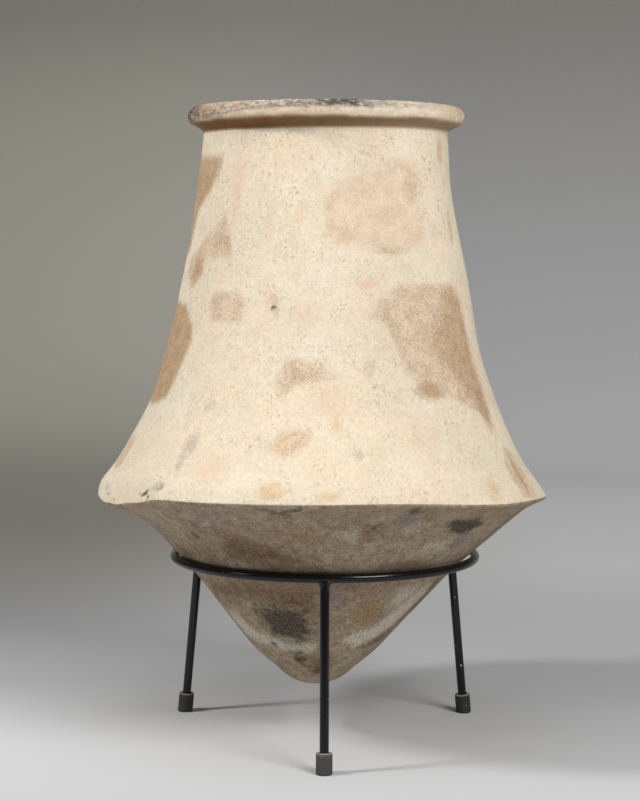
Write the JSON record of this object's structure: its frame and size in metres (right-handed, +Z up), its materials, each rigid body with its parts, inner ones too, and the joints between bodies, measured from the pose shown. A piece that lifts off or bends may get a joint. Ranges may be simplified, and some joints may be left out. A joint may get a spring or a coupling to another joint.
{
  "type": "funerary urn",
  "caption": "Hollow pointed clay urn with a sharp keel, a tapering neck and a rolled lip, standing in the ring of a slim steel tripod.",
  "frame": {"origin": "on the floor, under the middle of the stand's ring", "axes": "+Z up along the urn's middle line; the stand's single front leg and the urn's front face -Y; +X is the viewer's right"},
  "size_m": [0.5169, 0.5164, 0.7216],
  "materials": {
    "fired_clay": "matt cream slip over sandy buff clay, worn and stained",
    "black_steel": "satin black paint with small chips",
    "black_rubber": "matt dark rubber, scuffed"
  },
  "bodies": {
    "root": {"urn": "fired_clay", "stand_ring": "black_steel", "stand_leg_front": "black_steel", "stand_leg_left": "black_steel", "stand_leg_right": "black_steel", "foot_cap_front": "black_rubber", "foot_cap_left": "black_rubber", "foot_cap_right": "black_rubber"}
  },
  "joints": []
}
